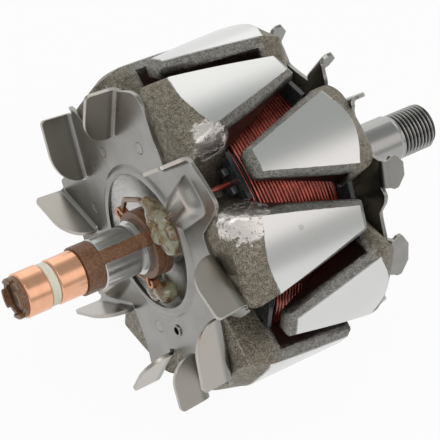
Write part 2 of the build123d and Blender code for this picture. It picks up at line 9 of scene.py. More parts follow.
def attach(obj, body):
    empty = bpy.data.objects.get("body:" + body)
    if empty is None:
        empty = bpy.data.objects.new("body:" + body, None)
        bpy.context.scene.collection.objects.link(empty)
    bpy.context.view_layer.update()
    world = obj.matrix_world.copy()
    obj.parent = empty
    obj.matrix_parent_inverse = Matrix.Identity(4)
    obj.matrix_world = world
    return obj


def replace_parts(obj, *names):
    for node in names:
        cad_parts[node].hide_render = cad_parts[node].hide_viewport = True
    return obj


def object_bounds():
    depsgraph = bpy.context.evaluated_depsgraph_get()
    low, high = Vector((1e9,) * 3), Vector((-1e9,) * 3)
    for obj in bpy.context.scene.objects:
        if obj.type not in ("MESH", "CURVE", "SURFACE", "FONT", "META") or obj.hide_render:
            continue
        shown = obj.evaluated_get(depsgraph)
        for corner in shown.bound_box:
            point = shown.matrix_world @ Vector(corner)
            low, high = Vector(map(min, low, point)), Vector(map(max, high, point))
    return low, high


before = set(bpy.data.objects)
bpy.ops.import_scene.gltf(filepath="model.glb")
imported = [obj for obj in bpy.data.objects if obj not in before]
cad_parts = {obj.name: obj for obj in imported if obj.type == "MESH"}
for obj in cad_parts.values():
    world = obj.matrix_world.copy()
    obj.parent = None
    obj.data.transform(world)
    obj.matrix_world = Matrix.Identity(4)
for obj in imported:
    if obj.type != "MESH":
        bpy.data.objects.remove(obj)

cad_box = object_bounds()
MM = 0.001

# Poles; sizes down to the camera's are in millimetres, angles in degrees
POLE_MIDDLE = -39.5
REAR_FACE = -71.0
DRIVE_FACE = -12.0
POLE_RADIUS = 56.0
HUB_RADIUS = 24.4
CLAW_COUNT = 6
CLAW_HALF = 15.0
CLAW_ROOT = 34.0
REAR_CORNER = 3.5
DRIVE_CORNER = 8.0
CORNER_STEPS = 12
CUTTER_MARGIN = 4.0
POLE_MERGE = 0.002
POLE_CREASE = 28

# Places on the claws, each as x, radius, angle and reach
# two corners that get painted highlights
GLINT_CORNERS = ((-61.6, 50.5, 105.0, 7.0), (-63.5, 50.5, 136.0, 9.0))
# a dent shown only by painted shade
SHADED_DENT = (-48.2, POLE_RADIUS, 144.8, 1.1)

# Winding and bobbin
WINDING_RADIUS = 44.75
WINDING_CROWN = 0.5
WINDING_HALF = 15.75
WINDING_END = 3.0
WINDING_DROP = 2.4
WINDING_BORE = 27.85
WINDING_SKIRT = 4.0
WINDING_STEPS = 216
WIRE_PITCH = 1.16
WIRE_POINTS = 7
WIRE_ROUNDNESS = 1.15
BOBBIN_HALF = 17.35
LEAD_ANGLES = (120.0, 300.0)
POST_OFFSET = 3.2
POST_LENGTH = 2.4
POST_WIDTH = 2.8
POST_RADIUS = 41.2
POST_ROUNDING = 0.6

# Shaft: where it stands in the cap, its pulley thread, the thread's profile as shares of pitch
# and depth, and the centre hole as depth and radius
CAP_FLOOR = -110.5
THREAD_START = 27.7
THREAD_END = 42.1
THREAD_RADIUS = 7.95
THREAD_PITCH = 1.5
THREAD_DEPTH = 0.92
THREAD_RUN_IN = 0.8
THREAD_CHAMFER = 1.0
THREAD_STEPS = 72
THREAD_PROFILE = ((0.0, 1.0), (0.08, 1.0), (0.42, 0.0), (0.50, 0.0), (0.66, 0.0), (1.0, 1.0))
CENTRE_HOLE = ((0.0, 7.0), (0.0, 2.4), (1.3, 1.1), (4.6, 1.1), (5.0, 0.02))
HOLE_STEPS = 48

# Set varnish: each lump as x, radius, angle and size
UPPER_LUMPS = (
    (-73.8, 18.4, 91.0, 2.4),
    (-73.2, 17.4, 101.0, 3.6),
    (-73.0, 15.8, 112.0, 4.4),
    (-72.4, 18.6, 117.0, 4.6),
    (-73.0, 15.4, 127.0, 4.8),
    (-72.0, 18.2, 133.0, 4.9),
    (-72.0, 16.8, 143.0, 4.2),
)
LOWER_LUMPS = (
    (-70.5, 18.6, 240.0, 3.8),
    (-71.0, 19.0, 254.0, 3.8),
    (-69.5, 18.0, 268.0, 3.2),
)
LUMP_WAVE = 2.4
LUMP_UNEVENNESS = 0.14
VARNISH_VOXEL = 0.35
VARNISH_EASE = 26
VARNISH_WAVE = 3.5
VARNISH_RIPPLE = 1.3
RIPPLE_SHARE = 0.2
VARNISH_SWELL = 0.35

# Fans: their sheet and hub bead, and the rear one's lead tunnels, welds and eyelet
FAN_SHEET = 1.3
FAN_BEND = 1.4
FAN_MERGE = 0.01
FAN_CREASE = 35
HUB_BEAD = 2.9
HUB_BEAD_HEIGHT = 1.1
HUB_BEAD_START = 0.25
TUNNEL_WIDTH = 7.4
TUNNEL_NARROWING = 0.2
TUNNEL_WALL = 4.4
TUNNEL_HEIGHT = 4.4
TUNNEL_MOUTH = 1.2
TUNNEL_REACH = 46.6
TUNNEL_SLOPE = 4.6
CALM_RIM = 2.5
WELDS = ((33.0, 30.5), (34.9, 76.5), (33.2, 341.7), (32.8, 253.9))
WELD_RADIUS = 2.0
EYELET = (31.1, 231.1)
EYELET_RADIUS = 1.6
EYELET_RIM = 0.5
EYELET_STAND = 0.3
EYELET_HOLE = 1.5
EYELET_STEPS = 16
EYELET_MERGE = 0.001

# Blade outlines: an overhang, a heel, and shares of the blade's height and length
BLADE_OVERHANG = 0.9
TAB_SPREAD_FROM = 0.2
TAB_SPREAD_OVER = 0.16
TAB_CORNER_FROM = 0.62
TAB_CORNER = 0.26
ROUND_FROM = 0.18
ROUND_LENGTH = 0.5
HEEL_FROM = 0.86
HEEL_RADIUS = 1.6

# Lobes between the blades: shares of the way down a lobe, and of its height left there
LOBE_FALL = ((0.0, 1.0), (0.35, 0.72), (0.7, 0.22), (1.0, 0.0))
LOBE_RISE = 0.012
FOLD_STEPS = 16
LOBE_STEPS = 9
DISC_STEPS = 44
BEND_STEPS = 7
BLADE_STEPS = 14

# A blade is its tip's radius share and angle, its foot's radius share and angle,
# the shares of the gap where its lobe starts and stops falling, and the valley's radius share
REAR_FAN = {
    "node": "rear_fan",
    "face": REAR_FACE,
    "side": -1,
    "radius": 55.5,
    "hole": 23.4,
    "lobe": 0.99,
    "height": 11.5,
    "square": False,
    "tunnels": LEAD_ANGLES,
    "blades": (
        (0.957, 19.2, 0.705, -2.3, 0.10, 0.34, 0.73),
        (0.962, 62.9, 0.672, 48.8, 0.38, 0.90, 0.71),
        (0.957, 108.6, 0.667, 97.1, 0.47, 0.78, 0.69),
        (1.000, 161.9, 0.742, 146.8, 0.20, 0.86, 0.74),
        (0.959, 201.1, 0.746, 179.8, 0.25, 0.90, 0.74),
        (0.987, 224.3, 0.719, 219.1, 0.22, 0.70, 0.70),
        (1.000, 257.0, 0.750, 244.1, 0.20, 0.50, 0.80),
        (1.000, 296.2, 0.670, 278.8, 0.15, 0.80, 0.70),
        (1.000, 339.2, 0.654, 326.5, 0.28, 0.90, 0.69),
    ),
}
DRIVE_FAN = {
    "node": "drive_fan",
    "face": DRIVE_FACE,
    "side": 1,
    "radius": 54.5,
    "hole": 14.5,
    "lobe": 0.91,
    "height": 7.2,
    "square": True,
    "tunnels": (),
    "blades": (
        (0.960, 29.0, 0.830, 19.0, 0.12, 0.80, 0.80),
        (0.960, 62.0, 0.830, 52.0, 0.18, 0.52, 0.77),
        (0.975, 92.0, 0.790, 85.5, 0.32, 0.72, 0.77),
        (0.970, 111.5, 0.790, 106.0, 0.18, 0.65, 0.80),
        (0.940, 146.5, 0.995, 136.5, 0.12, 0.55, 0.825),
        (0.935, 184.0, 0.905, 168.5, 0.12, 0.80, 0.83),
        (0.930, 218.5, 0.915, 205.5, 0.15, 0.80, 0.83),
        (0.930, 249.5, 0.915, 236.5, 0.15, 0.80, 0.83),
        (0.930, 286.5, 0.915, 273.5, 0.15, 0.80, 0.83),
        (0.930, 314.5, 0.915, 301.5, 0.15, 0.80, 0.83),
        (0.930, 347.5, 0.915, 334.5, 0.15, 0.80, 0.83),
    ),
}

# Camera: angles in degrees, distance in metres, sensor in millimetres, and the rest in pixels
# of the square photograph
AZIMUTH = -35.2
ELEVATION = 37.1
CLAW_PHASE = -7.2
CAMERA_DISTANCE = 0.7
PICTURE = 440
FOCAL_LENGTH = 2115
AXIS_ACROSS = 231.3
AXIS_DOWN = 206.1
SENSOR = 36

# Floor, lamp and room, in metres; a band of the room is from, to and edge in degrees, and its light
FLOOR_HALF = 3
FLOOR_GAP = 0.0002
FLOOR_WHITE = 0.94
LAMP_PLACE = (-0.45, -0.35, 0.85)
LAMP_SIZE = (0.8, 0.6)
LAMP_POWER = 2.8
ROOM_BANDS = (
    (-20, 55, 13, (1.26, 1.26, 1.24)),
    (118, 163, 8, (1.18, 1.13, 1.12)),
    (164, 173, 4, (0.54, 0.54, 0.53)),
)


# Materials
class Wire:
    """A number or colour on its way between nodes; arithmetic on it adds Math nodes."""

    def __init__(self, tree, socket):
        self.tree, self.socket = tree, socket

    def math(self, operation, *others, clamp=False):
        sockets = dict(enumerate((self, *others)))
        return self.tree.add("ShaderNodeMath", {"operation": operation, "use_clamp": clamp}, sockets)

    def __add__(self, other):
        return self.math("ADD", other)

    __radd__ = __add__

    def __mul__(self, other):
        return self.math("MULTIPLY", other)

    __rmul__ = __mul__

    def __sub__(self, other):
        return self.math("SUBTRACT", other)

    def __rsub__(self, other):
        return (self * -1) + other

    def __truediv__(self, other):
        return self.math("DIVIDE", other)

    def __pow__(self, other):
        return self.math("POWER", other)

    def ramp(self, low, high):
        """0 at low to 1 at high, smoothly."""
        settings = {"interpolation_type": "SMOOTHSTEP"}
        return self.tree.add("ShaderNodeMapRange", settings, {0: self, 1: low, 2: high})

    def between(self, low, high, edge):
        """1 where the value lies from low to high, with soft edges."""
        return self.ramp(low - edge, low + edge) * self.ramp(high + edge, high - edge)

    def clamped(self):
        return self.math("ADD", 0.0, clamp=True)


class Tree:
    """Short ways to add nodes to a tree and plug them together."""

    def __init__(self, tree):
        self.tree = tree

    def add(self, kind, settings=None, sockets=None, output=0):
        node = self.tree.nodes.new(kind)
        for key, value in (settings or {}).items():
            setattr(node, key, value)
        for key, value in (sockets or {}).items():
            self.plug(node.inputs[key], value)
        return Wire(self, node.outputs[output])

    def plug(self, socket, value):
        if isinstance(value, Wire):
            self.tree.links.new(value.socket, socket)
        elif socket.type == "RGBA" and len(value) == 3:
            socket.default_value = (*value, 1)
        else:
            socket.default_value = value

    def mix(self, share, first, second):
        """Colour from the first to the second."""
        return self.add("ShaderNodeMix", {"data_type": "RGBA"}, {0: share, 6: first, 7: second}, 2)


class Finish(Tree):
    """A procedural material round one Principled shader."""

    def __init__(self, name, **fixed):
        self.material = bpy.data.materials.new(name)
        self.material.use_nodes = True
        super().__init__(self.material.node_tree)
        self.tree.nodes.clear()
        self.shader = self.tree.nodes.new("ShaderNodeBsdfPrincipled")
        self.output = self.tree.nodes.new("ShaderNodeOutputMaterial")
        self.tree.links.new(self.shader.outputs[0], self.output.inputs[0])
        self.place = self.add("ShaderNodeTexCoord", output="Object")
        self.x, self.y, self.z = (self.add("ShaderNodeSeparateXYZ", {}, {0: self.place}, k) for k in range(3))
        self.set(**fixed)

    def set(self, **values):
        for key, value in values.items():
            self.plug(self.shader.inputs[key.replace("_", " ")], value)

    def noise(self, size, detail=2.0, roughness=0.5, place=None):
        """Noise from 0 to 1 with features of about the size, in millimetres."""
        sockets = {"Vector": place or self.place, "Scale": 1 / (size * MM)}
        sockets |= {"Detail": detail, "Roughness": roughness}
        return self.add("ShaderNodeTexNoise", {}, sockets)

    def stretched(self, x, y, z):
        """The place with each direction scaled."""
        return self.add("ShaderNodeVectorMath", {"operation": "MULTIPLY"}, {0: self.place, 1: (x, y, z)})

    def radius(self):
        return (self.y * self.y + self.z * self.z) ** 0.5

    def round_place(self):
        """Place as (x, angle, 0), the angle scaled down, for marks that run round the shaft."""
        angle = self.z.math("ARCTAN2", self.y)
        return self.add("ShaderNodeCombineXYZ", {}, {0: self.x, 1: angle * (1.2 * MM)})

    def near(self, x, radius, angle, reach, ragged):
        """1 close to a point on the rotor, given in millimetres and degrees, with a ragged edge."""
        turn = math.radians(angle)
        point = (x * MM, radius * math.cos(turn) * MM, radius * math.sin(turn) * MM)
        away = self.add("ShaderNodeVectorMath", {"operation": "DISTANCE"}, {0: self.place, 1: point}, 1)
        return (away + (ragged - 0.5) * (reach * MM)).ramp(reach * MM, reach * 0.82 * MM)

    def bump(self, height, distance, under=None):
        """Adds relief, its distance in millimetres."""
        sockets = {"Height": height, "Distance": distance * MM}
        if under:
            sockets["Normal"] = under
        return self.add("ShaderNodeBump", {}, sockets)

    def soft_edges(self, radius):
        """Normal as if the edges were rounded, radius in millimetres."""
        return self.add("ShaderNodeBevel", {"samples": 4}, {0: radius * MM})

    def edge_share(self, radius):
        """1 along edges, 0 on the flats."""
        true = self.add("ShaderNodeNewGeometry", output="Normal")
        sockets = {0: self.soft_edges(radius), 1: true}
        likeness = self.add("ShaderNodeVectorMath", {"operation": "DOT_PRODUCT"}, sockets, 1)
        return (1 - likeness).ramp(0.05, 0.2)


def pole_iron():
    """Forged iron: rough and brown-grey all over, turned bright on the claws' outer faces."""
    iron = Finish("claw_pole_iron", Metallic=1.0)
    radius = iron.radius()
    from_middle = (iron.x - POLE_MIDDLE * MM).math("ABSOLUTE")
    grain = iron.noise(0.36, 2.0, 0.6)
    lumps = iron.noise(1.6, 4.0, 0.7)
    ragged = iron.noise(2.6, 4.0, 0.65)
    uneven = radius + (ragged - 0.5) * (0.4 * MM)
    turned = uneven.ramp((POLE_RADIUS - 0.34) * MM, (POLE_RADIUS - 0.18) * MM)
    # rough forged skin, greyer on the claws' sides than at the roots
    root = from_middle.ramp(14 * MM, 20 * MM)
    pale = iron.mix(root, (0.38, 0.372, 0.345), (0.38, 0.345, 0.28))
    dark = iron.mix(root, (0.125, 0.12, 0.11), (0.105, 0.09, 0.068))
    skin = iron.mix((grain * 0.65 + lumps * 0.35).ramp(0.38, 0.64), dark, pale)
    # painted highlights: bright glints at two corners beside the lead, and in small spots elsewhere, where
    # the iron is also made smoother
    glint = iron.noise(9.0, 3.0, 0.6).ramp(0.66, 0.74) * 0.4
    for corner in GLINT_CORNERS:
        glint = glint + iron.near(*corner, ragged)
    glint = glint.clamped() * lumps.ramp(0.68, 0.56)
    skin = iron.mix(glint * 0.9, skin, (0.80, 0.755, 0.73))
    # painted highlights along the forged lips at the claws' edges
    lip_highlight = iron.edge_share(0.7)
    skin = iron.mix(lip_highlight * lumps.ramp(0.38, 0.55) * 0.85, skin, (0.72, 0.69, 0.65))
    # the side walls between the poles are painted dark: painted shade in the recess there, together with dark
    # varnish
    inward = from_middle.ramp(17.5 * MM, 14.5 * MM)
    uneven = radius + (ragged - 0.5) * (3.0 * MM)
    stained = uneven.ramp((POLE_RADIUS - 3.2) * MM, (POLE_RADIUS - 4.4) * MM) * inward
    skin = iron.mix(stained * 0.82, skin, (0.045, 0.030, 0.024))
    # turned steel-grey in the hub, and brighter, with fine marks, on the claws' faces, where painted shade
    # darkens one dent
    bored = radius.ramp((HUB_RADIUS + 0.3) * MM, HUB_RADIUS * MM)
    skin = iron.mix(bored, skin, (0.62, 0.61, 0.59))
    marks = iron.noise(0.3, 2.0, 0.6, iron.round_place())
    face = iron.mix(marks * 0.3 + iron.noise(16.0, 1.0) * 0.7, (0.63, 0.635, 0.62), (0.69, 0.69, 0.685))
    face = iron.mix(iron.near(*SHADED_DENT, lumps) * 0.3, face, (0.3, 0.3, 0.3))
    iron.set(Base_Color=iron.mix(turned, skin, face))
    worn = (glint + bored).clamped()
    rough = 0.5 - worn * 0.2 - lip_highlight * 0.1 + (grain - 0.5) * 0.2
    iron.set(Roughness=rough * (1 - turned) + turned * (0.19 + marks * 0.04))
    relief = (grain * 0.5 + lumps) * (1 - turned) * (1 - worn * 0.7)
    outward = iron.add("ShaderNodeCombineXYZ", {}, {1: iron.y / radius, 2: iron.z / radius})
    sockets = {0: turned, 4: iron.soft_edges(1.3), 5: outward}
    rounding = iron.add("ShaderNodeMix", {"data_type": "VECTOR"}, sockets, 1)
    iron.set(Normal=iron.bump(relief, 0.4, rounding))
    return iron.material


def fan_steel():
    """Rolled sheet steel, satin, with faint drawing marks, painted highlights along the cut edges, and the
    disc painted darker than the blades as painted shade.
    """
    sheet = Finish("fan_sheet_steel", Metallic=1.0)
    outside = REAR_FACE - FAN_SHEET
    marks = sheet.noise(1.0, 3.0, 0.6, sheet.stretched(0.12, 1, 1))
    cloud = sheet.noise(14.0, 3.0, 0.55)
    even = sheet.noise(50.0)
    lit_blades = (REAR_FACE * MM - sheet.x).ramp(2.6 * MM, 4.5 * MM)
    tone = sheet.mix(cloud.ramp(0.3, 0.7) * 0.7 + marks * 0.3, (0.25, 0.243, 0.226), (0.34, 0.333, 0.315))
    # painted light: the blades are painted lighter than the disc of the same sheet
    tone = sheet.mix(lit_blades * 0.85, tone, (0.50, 0.465, 0.425))
    relief = cloud * 0.02
    for radius, angle in WELDS:
        weld = sheet.near(outside, radius, angle, WELD_RADIUS, even)
        relief = relief - weld
        tone = sheet.mix(weld * 0.25, tone, (0.42, 0.39, 0.35))
    # painted highlights along the cut edges
    tone = sheet.mix(sheet.edge_share(0.4) * 0.8, tone, (0.74, 0.73, 0.70))
    # painted shade: the sheet is painted near black inside the eyelet's hole
    hole = sheet.near(outside, *EYELET, EYELET_HOLE, even)
    sheet.set(Base_Color=sheet.mix(hole, tone, (0.015, 0.014, 0.013)))
    sheet.set(Roughness=0.23 + marks * 0.06 + cloud * 0.06)
    sheet.set(Normal=sheet.bump(relief, 0.5, sheet.soft_edges(0.35)))
    return sheet.material


def shaft_steel():
    """Ground and turned steel with fine marks round the shaft, stained brown inside the cap."""
    steel = Finish("shaft_ground_steel", Metallic=1.0)
    marks = steel.noise(0.25, 2.0, 0.6, steel.round_place())
    bands = steel.noise(2.0, 1.0, 0.5, steel.round_place())
    bright = steel.mix(marks * 0.4 + bands * 0.6, (0.46, 0.46, 0.45), (0.66, 0.66, 0.65))
    # painted shade: the drive end is painted darker, standing in for its dimmer reflection
    bright = steel.mix(steel.x.ramp(0.0, 12 * MM), bright, (0.36, 0.36, 0.35))
    # painted shade, dark down between the thread's ridges
    groove_shade = steel.x.ramp(THREAD_START * MM, (THREAD_START + 0.5) * MM)
    groove_shade = groove_shade * steel.radius().ramp((THREAD_RADIUS - 0.15) * MM, (THREAD_RADIUS - 0.7) * MM)
    groove_shade = groove_shade * steel.x.ramp((THREAD_END + 0.1) * MM, (THREAD_END - 0.4) * MM)
    bright = steel.mix(groove_shade, bright, (0.06, 0.058, 0.055))
    stained = steel.x.ramp(CAP_FLOOR * MM, (CAP_FLOOR - 1) * MM)
    steel.set(Base_Color=steel.mix(stained, bright, (0.17, 0.11, 0.08)))
    steel.set(Roughness=0.2 + marks * 0.08 + stained * 0.2)
    steel.set(Normal=steel.soft_edges(0.3))
    return steel.material


def copper(name, bright, dull, roughness):
    """Copper turned smooth, slightly worn in bands."""
    metal = Finish(name, Metallic=1.0)
    marks = metal.noise(0.3, 2.0, 0.6, metal.round_place())
    bands = metal.noise(2.2, 1.0, 0.5, metal.round_place())
    metal.set(Base_Color=metal.mix(bands * 0.6 + marks * 0.4, dull, bright))
    metal.set(Roughness=roughness + marks * 0.1)
    metal.set(Normal=metal.soft_edges(0.35))
    return metal.material


def plastic(name, dark, light, roughness, size=1.2, relief=0.12):
    """Moulded plastic with a fine skin and slight colour drift."""
    skin = Finish(name, Specular_IOR_Level=0.5)
    drift = skin.noise(size * 5, 2.0, 0.5)
    grain = skin.noise(size, 3.0, 0.6)
    skin.set(Base_Color=skin.mix(drift * 0.5 + grain.ramp(0.36, 0.64) * 0.5, dark, light))
    skin.set(Roughness=roughness + (grain - 0.5) * 0.25)
    skin.set(Normal=skin.bump(grain, relief, skin.soft_edges(0.3)))
    return skin.material


def enamel():
    """Red enamel over copper wire, with painted shade nearly black down between the turns."""
    wire = Finish("red_enamel_wire", Metallic=0.8, Coat_Weight=0.6, Coat_Roughness=0.15)
    along = (wire.x - POLE_MIDDLE * MM).math("ABSOLUTE")
    end = (along - (WINDING_HALF - WINDING_END) * MM).math("MAXIMUM", 0.0)
    surface = WINDING_RADIUS * MM - end * (WINDING_DROP / WINDING_END)
    depth = surface - wire.radius()
    drift = wire.noise(5.0, 3.0, 0.6)
    crest = wire.mix(drift.ramp(0.3, 0.7), (0.20, 0.032, 0.02), (0.46, 0.09, 0.06))
    # painted shade: nearly black down between the turns
    wire.set(Base_Color=wire.mix(depth.ramp(0.42 * MM, 0.75 * MM), crest, (0.015, 0.004, 0.003)))
    wire.set(Roughness=0.22 + wire.noise(1.5) * 0.12)
    return wire.material


def lead_wire():
    """The same wire run loose, brown with varnish where it passes inside the hub."""
    wire = Finish("red_lead_wire", Metallic=0.6, Coat_Weight=1.0, Coat_Roughness=0.12)
    drift = wire.noise(3.0, 2.0, 0.6)
    red = wire.mix(drift, (0.22, 0.03, 0.02), (0.42, 0.075, 0.045))
    coated = wire.radius().ramp(30 * MM, 26 * MM)
    wire.set(Base_Color=wire.mix(coated, red, (0.20, 0.095, 0.045)))
    wire.set(Roughness=0.28 + drift * 0.15)
    return wire.material


def varnish():
    """Set resin, amber to pale green, streaky and half clear."""
    resin = Finish("set_varnish", Transmission_Weight=0.55, Coat_Weight=1.0, Coat_Roughness=0.05)
    streaks = resin.noise(1.1, 4.0, 0.65, resin.stretched(1.0, 0.2, 0.8))
    cloud = resin.noise(4.5, 2.0, 0.5)
    amber = resin.mix(streaks.ramp(0.38, 0.62), (0.17, 0.085, 0.025), (0.50, 0.36, 0.17))
    resin.set(Base_Color=resin.mix(cloud.ramp(0.46, 0.62) * 0.75, amber, (0.62, 0.64, 0.44)))
    resin.set(Roughness=0.12 + streaks * 0.2)
    resin.set(Normal=resin.bump(streaks, 0.1))
    return resin.material


IRON = pole_iron()
SHEET = fan_steel()
STEEL = shaft_steel()
RING_COPPER = copper("slip_ring_copper", (0.92, 0.55, 0.37), (0.76, 0.37, 0.22), 0.18)
HOOK_COPPER = copper("terminal_copper", (0.72, 0.38, 0.24), (0.42, 0.19, 0.11), 0.32)
BLACK = plastic("bobbin_plastic", (0.016, 0.017, 0.018), (0.04, 0.043, 0.046), 0.24)
BROWN = plastic("brown_moulding", (0.085, 0.036, 0.017), (0.30, 0.145, 0.072), 0.36, 0.7, 0.22)
CREAM = plastic("cream_ring", (0.72, 0.70, 0.56), (0.84, 0.82, 0.70), 0.4)
ENAMEL = enamel()
LEAD = lead_wire()
RESIN = varnish()

LOOKS = {
    "shaft": STEEL,
    "drive_spacer": STEEL,
    "rear_claw_pole": IRON,
    "drive_claw_pole": IRON,
    "pole_core": IRON,
    "bobbin": BLACK,
    "field_winding": ENAMEL,
    "winding_lead_a": LEAD,
    "winding_lead_b": LEAD,
    "outer_slip_ring": RING_COPPER,
    "inner_slip_ring": RING_COPPER,
    "insulating_ring": CREAM,
    "slip_ring_moulding": BROWN,
    "terminal_a": HOOK_COPPER,
    "terminal_b": HOOK_COPPER,
    "varnish_bead_a": RESIN,
    "varnish_bead_b": RESIN,
    "rear_fan": SHEET,
    "drive_fan": SHEET,
}
for name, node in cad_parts.items():
    node.data.materials.clear()
    node.data.materials.append(LOOKS[name])


# Ways to make a piece
def as_mesh(bm, name, unit=MM):
    """The worked mesh as a finished one, brought from its unit to metres."""
    bmesh.ops.scale(bm, vec=(unit, unit, unit), verts=bm.verts)
    mesh = bpy.data.meshes.new(name)
    bm.to_mesh(mesh)
    bm.free()
    return mesh


def as_object(name, data):
    """A new object, put in the scene."""
    thing = bpy.data.objects.new(name, data)
    bpy.context.scene.collection.objects.link(thing)
    return thing


def as_piece(name, mesh, material):
    """A finished mesh as a piece that rides on the rotor."""
    mesh.name = name
    mesh.materials.clear()
    mesh.materials.append(material)
    thing = as_object(name, mesh)
    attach(thing, "root")
    return thing


def piece(name, points, faces, material):
    """A piece from points in millimetres."""
    mesh = bpy.data.meshes.new(name)
    mesh.from_pydata([(x * MM, y * MM, z * MM) for x, y, z in points], [], faces)
    mesh.validate()
    bm = bmesh.new()
    bm.from_mesh(mesh)
    bmesh.ops.recalc_face_normals(bm, faces=bm.faces)
    bm.to_mesh(mesh)
    bm.free()
    return as_piece(name, mesh, material)


def settled(thing):
    """The mesh that an object's modifiers make; the object goes."""
    mesh = bpy.data.meshes.new_from_object(thing.evaluated_get(bpy.context.evaluated_depsgraph_get()))
    bpy.data.objects.remove(thing)
    return mesh


def on_disc(radius, angle):
    """Point (y, z) at a radius and an angle in degrees."""
    turn = math.radians(angle)
    return Vector((radius * math.cos(turn), radius * math.sin(turn)))


def limited(value):
    """The value, kept from 0 to 1."""
    return min(1.0, max(0.0, value))


def smooth_step(value):
    """The value, kept from 0 to 1, with a gentle start and end."""
    share = limited(value)
    return share * share * (3 - 2 * share)


def quarter_circle(value):
    """How far a quarter circle has turned in, from 0 at 0 to 1 at 1."""
    return 1 - math.sqrt(1 - limited(value) ** 2)


# Poles
def corner_cutters(half, corner, side, phase):
    """Blocks that leave a rounded corner on both sides of every claw's root."""
    bm = bmesh.new()
    beyond, beside = -half - CUTTER_MARGIN, CLAW_HALF + CUTTER_MARGIN
    outline = [(beyond, beside), (beyond, CLAW_HALF - corner)]
    for step in range(CORNER_STEPS + 1):
        turn = math.pi / 2 * step / CORNER_STEPS
        outline.append((-half + corner * (1 - math.cos(turn)), CLAW_HALF - corner * (1 - math.sin(turn))))
    outline.append((-half + corner, beside))
    middle = Vector((POLE_MIDDLE, 0, 0))
    for k in range(CLAW_COUNT):
        turn = Matrix.Rotation(math.radians(360 / CLAW_COUNT * k + phase), 3, "X")
        for flank in (1, -1):
            rims = []
            for height in (CLAW_ROOT, POLE_RADIUS + CUTTER_MARGIN / 2):
                places = [turn @ Vector((side * x, flank * y, height)) for x, y in outline]
                rims.append([bm.verts.new((place + middle) * MM) for place in places])
            low, high = rims
            bm.faces.new(low)
            bm.faces.new(list(reversed(high)))
            for here in range(len(outline)):
                after = (here + 1) % len(outline)
                bm.faces.new((low[after], low[here], high[here], high[after]))
    bmesh.ops.recalc_face_normals(bm, faces=bm.faces)
    return bm


def rounded_pole(node, face, corner, phase):
    """A claw pole with the corners of its claw roots rounded, as forged."""
    bm = bmesh.new()
    bm.from_mesh(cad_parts[node].data)
    bmesh.ops.remove_doubles(bm, verts=bm.verts, dist=POLE_MERGE * MM)
    rough = as_object(node + "_rough", as_mesh(bm, node + "_body", 1))
    side = 1 if face < POLE_MIDDLE else -1
    cutters = corner_cutters(abs(face - POLE_MIDDLE), corner, side, phase)
    tool = as_object(node + "_tool", as_mesh(cutters, node + "_corners", 1))
    cut = rough.modifiers.new("corners", "BOOLEAN")
    cut.operation, cut.solver, cut.object = "DIFFERENCE", "EXACT", tool
    mesh = settled(rough)
    bpy.data.objects.remove(tool)
    mesh.set_sharp_from_angle(angle=math.radians(POLE_CREASE))
    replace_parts(as_piece(node + "_forging", mesh, IRON), node)


# Bobbin and winding
def lead_posts():
    """Two posts that guide each lead out of the bobbin."""
    start = POLE_MIDDLE - BOBBIN_HALF
    for angle in LEAD_ANGLES:
        bm = bmesh.new()
        for offset in (POST_OFFSET, -POST_OFFSET):
            post = bmesh.ops.create_cube(bm, size=1.0)["verts"]
            bmesh.ops.scale(bm, vec=(POST_LENGTH, POST_WIDTH, POST_WIDTH), verts=post)
            bmesh.ops.translate(bm, verts=post, vec=(start - POST_LENGTH / 2, offset, POST_RADIUS))
        bmesh.ops.bevel(bm, geom=bm.edges[:], offset=POST_ROUNDING, segments=3, affect="EDGES", profile=0.5)
        bmesh.ops.rotate(bm, matrix=Matrix.Rotation(math.radians(angle - 90), 3, "X"), verts=bm.verts)
        mesh = as_mesh(bm, "lead_posts")
        mesh.shade_smooth()
        as_piece(f"lead_posts_{angle:.0f}", mesh, BLACK)


def swept_round(profile_at, count, steps):
    """Points and faces of a closed profile of (x, radius) points carried round the shaft."""
    points, faces = [], []
    for step in range(steps):
        turn = 2 * math.pi * step / steps
        for x, radius in profile_at(turn):
            points.append((x, radius * math.cos(turn), radius * math.sin(turn)))
    for step in range(steps):
        here, there = step * count, (step + 1) % steps * count
        for k in range(count):
            after = (k + 1) % count
            faces.append((here + k, here + after, there + after, there + k))
    return points, faces


def winding():
    """The outer layer of turns, lying slightly unevenly, over the solid of the layers below."""
    draw = random.Random(4)
    turns = round(2 * WINDING_HALF / WIRE_PITCH)
    sway = [(draw.uniform(0.02, 0.1), draw.uniform(0, 6.28), draw.randint(1, 3)) for _ in range(turns)]
    sink = [(draw.uniform(0.0, 0.14), draw.uniform(0, 6.28), draw.randint(2, 5)) for _ in range(turns)]
    width = 2 * WINDING_HALF / turns
    half = width / 2

    def profile_at(turn):
        line = []
        for k in range(turns):
            far, start, waves = sway[k]
            deep, sink_start, sinks = sink[k]
            middle = -WINDING_HALF + (k + 0.5) * width
            centre = middle + far * math.sin(waves * turn + start)
            over = max(0.0, abs(middle) - (WINDING_HALF - WINDING_END))
            crown = WINDING_RADIUS - WINDING_CROWN * (middle / WINDING_HALF) ** 2
            crown -= over * WINDING_DROP / WINDING_END
            crown -= deep * (0.5 + 0.5 * math.sin(sinks * turn + sink_start))
            for j in range(WIRE_POINTS):
                a = math.pi * (j + 0.5) / WIRE_POINTS
                radius = crown - WIRE_ROUNDNESS * half * (1 - math.sin(a))
                line.append((POLE_MIDDLE + centre - half * math.cos(a), radius))
        skirt = WINDING_RADIUS - WINDING_SKIRT
        for end, radius in ((1, skirt), (1, WINDING_BORE), (-1, WINDING_BORE), (-1, skirt)):
            line.append((POLE_MIDDLE + end * WINDING_HALF, radius))
        return line

    points, faces = swept_round(profile_at, turns * WIRE_POINTS + 4, WINDING_STEPS)
    coil = piece("wound_turns", points, faces, ENAMEL)
    coil.data.shade_smooth()
    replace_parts(coil, "field_winding")


